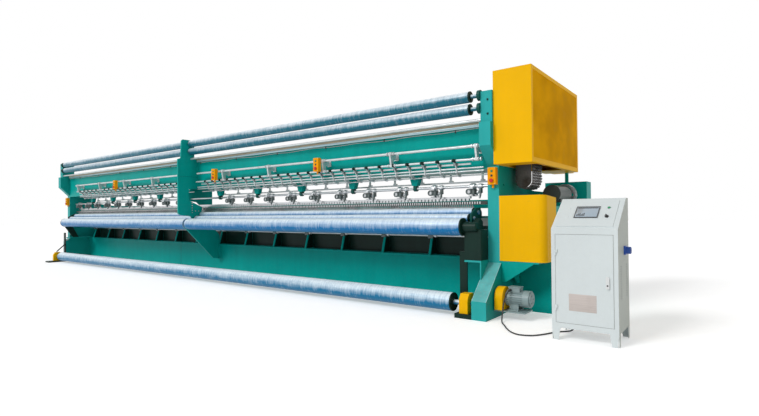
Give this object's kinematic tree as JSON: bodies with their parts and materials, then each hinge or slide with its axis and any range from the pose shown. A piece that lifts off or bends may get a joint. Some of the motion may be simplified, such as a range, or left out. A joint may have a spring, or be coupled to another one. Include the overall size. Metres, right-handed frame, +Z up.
{
  "type": "raschel warp knitting machine",
  "caption": "Long warp knitting machine for net fabric: base beam, end frames, needle and guide bars, feed and take-up rollers, pattern drive under a cover, and a control cabinet",
  "frame": {"origin": "middle of the base beam's underside, on the floor", "axes": "X along the machine towards the drive end and the cabinet, Y from the fabric side to the back, Z up"},
  "size_m": [12.2195, 2.5235, 2.491],
  "materials": {
    "teal_paint": "semi-gloss enamel over castings and plate",
    "dark_paint": "dark green-grey enamel",
    "roller_steel": "ground and plated, bright",
    "roll_tube": "drawn tube",
    "bright_steel": "ground",
    "needle_steel": "oiled",
    "yellow_paint": "smooth powder coat",
    "amber_panel": "tinted sheet",
    "motor_paint": "grey enamel over cast fins",
    "chain_steel": "oiled dark links",
    "red_plastic": "smooth",
    "black_plastic": "fine grained",
    "green_plastic": "smooth",
    "cabinet_paint": "fine textured powder coat",
    "lock_plastic": "white moulded grip",
    "blue_plastic": "moulded",
    "screen_glass": "glossy",
    "cable_rubber": "matt"
  },
  "bodies": {
    "frame": {"base_beam": "teal_paint", "end_frames": "teal_paint", "middle_frame": "teal_paint", "upper_beam": "teal_paint", "drive_trough": "dark_paint", "bearing_housings": "dark_paint", "trick_plate": "bright_steel", "rail_rods": "bright_steel", "rail_arms": "bright_steel", "takeup_gearbox": "dark_paint", "roll_stands": "dark_paint", "roll_brackets": "yellow_paint", "wind_belt_cover": "yellow_paint", "wind_motor": "motor_paint", "drive_cover": "yellow_paint", "drive_pedestal": "teal_paint", "main_motor": "dark_paint", "pattern_cover": "yellow_paint", "belt_cover": "yellow_paint", "pattern_panel": "amber_panel", "pattern_chains": "chain_steel", "stop_boxes": "yellow_paint", "cabinet_shell": "cabinet_paint", "console_panel": "cabinet_paint", "screen": "screen_glass", "power_socket": "blue_plastic", "motor_cable": "cable_rubber", "cable_glands": "black_plastic"},
    "feed_lower": {"feed_roller_lower": "roller_steel"},
    "feed_upper": {"feed_roller_upper": "roller_steel"},
    "takeup": {"takeup_roller": "roller_steel"},
    "press_lower": {"press_roller_lower": "roller_steel"},
    "press_upper": {"press_roller_upper": "roller_steel"},
    "cloth": {"cloth_roll": "roll_tube"},
    "needles": {"needle_bar": "needle_steel"},
    "swinging": {"swing_shaft": "bright_steel", "swing_hangers": "dark_paint"},
    "guides_front": {"guide_bar_front": "bright_steel"},
    "guides_back": {"guide_bar_back": "bright_steel"},
    "drum": {"pattern_drum": "bright_steel"},
    "pulley": {"motor_pulley": "bright_steel"},
    "door": {"cabinet_door": "cabinet_paint"},
    "lock": {"lock_handle": "lock_plastic"},
    "stop_1": {"stop_button_1": "red_plastic"},
    "stop_2": {"stop_button_2": "red_plastic"},
    "stop_3": {"stop_button_3": "red_plastic"},
    "stop_4": {"stop_button_4": "red_plastic"},
    "stop_5": {"stop_button_5": "red_plastic"},
    "jog_1": {"jog_button_1": "black_plastic"},
    "jog_2": {"jog_button_2": "black_plastic"},
    "jog_3": {"jog_button_3": "black_plastic"},
    "jog_4": {"jog_button_4": "black_plastic"},
    "jog_5": {"jog_button_5": "black_plastic"},
    "run_1": {"run_button_1": "green_plastic"},
    "run_2": {"run_button_2": "green_plastic"},
    "run_3": {"run_button_3": "green_plastic"},
    "run_4": {"run_button_4": "green_plastic"},
    "run_5": {"run_button_5": "green_plastic"},
    "start": {"start_button": "green_plastic"},
    "selector": {"selector_switch": "black_plastic"}
  },
  "joints": [
    {"name": "feed_lower_spin", "type": "hinge", "parent": "frame", "child": "feed_lower", "pos_m": [0, -1.01, 2.13], "axis": [1, 0, 0], "continuous": true},
    {"name": "feed_upper_spin", "type": "hinge", "parent": "frame", "child": "feed_upper", "pos_m": [0, -1.01, 2.262], "axis": [1, 0, 0], "continuous": true},
    {"name": "takeup_spin", "type": "hinge", "parent": "frame", "child": "takeup", "pos_m": [0, -1.05, 0.909], "axis": [1, 0, 0], "continuous": true},
    {"name": "press_lower_spin", "type": "hinge", "parent": "frame", "child": "press_lower", "pos_m": [0, -0.912, 0.995], "axis": [1, 0, 0], "continuous": true},
    {"name": "press_upper_spin", "type": "hinge", "parent": "frame", "child": "press_upper", "pos_m": [0, -0.81, 1.058], "axis": [1, 0, 0], "continuous": true},
    {"name": "cloth_roll_spin", "type": "hinge", "parent": "frame", "child": "cloth", "pos_m": [0, -1.14, 0.137], "axis": [1, 0, 0], "continuous": true},
    {"name": "needle_lift", "type": "slide", "parent": "frame", "child": "needles", "axis": [0, 0, 1], "range_m": [0, 0.04]},
    {"name": "swing", "type": "hinge", "parent": "frame", "child": "swinging", "pos_m": [0, -0.75, 1.345], "axis": [1, 0, 0], "range_deg": [-6, 6]},
    {"name": "guide_front_shog", "type": "slide", "parent": "swinging", "child": "guides_front", "axis": [1, 0, 0], "range_m": [-0.024, 0.024]},
    {"name": "guide_back_shog", "type": "slide", "parent": "swinging", "child": "guides_back", "axis": [1, 0, 0], "range_m": [-0.024, 0.024]},
    {"name": "drum_spin", "type": "hinge", "parent": "frame", "child": "drum", "pos_m": [5.608, -0.4, 1.74], "axis": [0, 1, 0], "continuous": true},
    {"name": "pulley_spin", "type": "hinge", "parent": "frame", "child": "pulley", "pos_m": [5.76, 0.4, 1.262], "axis": [0, 1, 0], "continuous": true},
    {"name": "door_hinge", "type": "hinge", "parent": "frame", "child": "door", "pos_m": [6.222, -1.5175, 0.45], "axis": [0, 0, -1], "range_deg": [0, 110]},
    {"name": "lock_turn", "type": "hinge", "parent": "door", "child": "lock", "pos_m": [6.6201, -1.512, 0.4625], "axis": [0, 1, 0], "range_deg": [0, 90]},
    {"name": "stop_press_1", "type": "slide", "parent": "frame", "child": "stop_1", "axis": [0, 1, 0], "range_m": [0, 0.004], "stiffness_N_per_m": 700},
    {"name": "stop_press_2", "type": "slide", "parent": "frame", "child": "stop_2", "axis": [0, 1, 0], "range_m": [0, 0.004], "stiffness_N_per_m": 700},
    {"name": "stop_press_3", "type": "slide", "parent": "frame", "child": "stop_3", "axis": [0, 1, 0], "range_m": [0, 0.004], "stiffness_N_per_m": 700},
    {"name": "stop_press_4", "type": "slide", "parent": "frame", "child": "stop_4", "axis": [0, 1, 0], "range_m": [0, 0.004], "stiffness_N_per_m": 700},
    {"name": "stop_press_5", "type": "slide", "parent": "frame", "child": "stop_5", "axis": [0, 1, 0], "range_m": [0, 0.004], "stiffness_N_per_m": 700},
    {"name": "jog_press_1", "type": "slide", "parent": "frame", "child": "jog_1", "axis": [0, 1, 0], "range_m": [0, 0.004], "stiffness_N_per_m": 700},
    {"name": "jog_press_2", "type": "slide", "parent": "frame", "child": "jog_2", "axis": [0, 1, 0], "range_m": [0, 0.004], "stiffness_N_per_m": 700},
    {"name": "jog_press_3", "type": "slide", "parent": "frame", "child": "jog_3", "axis": [0, 1, 0], "range_m": [0, 0.004], "stiffness_N_per_m": 700},
    {"name": "jog_press_4", "type": "slide", "parent": "frame", "child": "jog_4", "axis": [0, 1, 0], "range_m": [0, 0.004], "stiffness_N_per_m": 700},
    {"name": "jog_press_5", "type": "slide", "parent": "frame", "child": "jog_5", "axis": [0, 1, 0], "range_m": [0, 0.004], "stiffness_N_per_m": 700},
    {"name": "run_press_1", "type": "slide", "parent": "frame", "child": "run_1", "axis": [0, 1, 0], "range_m": [0, 0.004], "stiffness_N_per_m": 700},
    {"name": "run_press_2", "type": "slide", "parent": "frame", "child": "run_2", "axis": [0, 1, 0], "range_m": [0, 0.004], "stiffness_N_per_m": 700},
    {"name": "run_press_3", "type": "slide", "parent": "frame", "child": "run_3", "axis": [0, 1, 0], "range_m": [0, 0.004], "stiffness_N_per_m": 700},
    {"name": "run_press_4", "type": "slide", "parent": "frame", "child": "run_4", "axis": [0, 1, 0], "range_m": [0, 0.004], "stiffness_N_per_m": 700},
    {"name": "run_press_5", "type": "slide", "parent": "frame", "child": "run_5", "axis": [0, 1, 0], "range_m": [0, 0.004], "stiffness_N_per_m": 700},
    {"name": "start_press", "type": "slide", "parent": "frame", "child": "start", "axis": [0, 0.597, -0.8023], "range_m": [0, 0.004], "stiffness_N_per_m": 700},
    {"name": "selector_turn", "type": "hinge", "parent": "frame", "child": "selector", "pos_m": [6.592, -1.38264, 1.01052], "axis": [0, -0.597, 0.8023], "range_deg": [-45, 45]}
  ],
  "couplings": [
    {"joint": "feed_upper_spin", "follows": "feed_lower_spin", "ratio": -1},
    {"joint": "press_lower_spin", "follows": "takeup_spin", "ratio": -1.85},
    {"joint": "press_upper_spin", "follows": "takeup_spin", "ratio": 1.85},
    {"joint": "cloth_roll_spin", "follows": "takeup_spin", "ratio": -0.974}
  ]
}
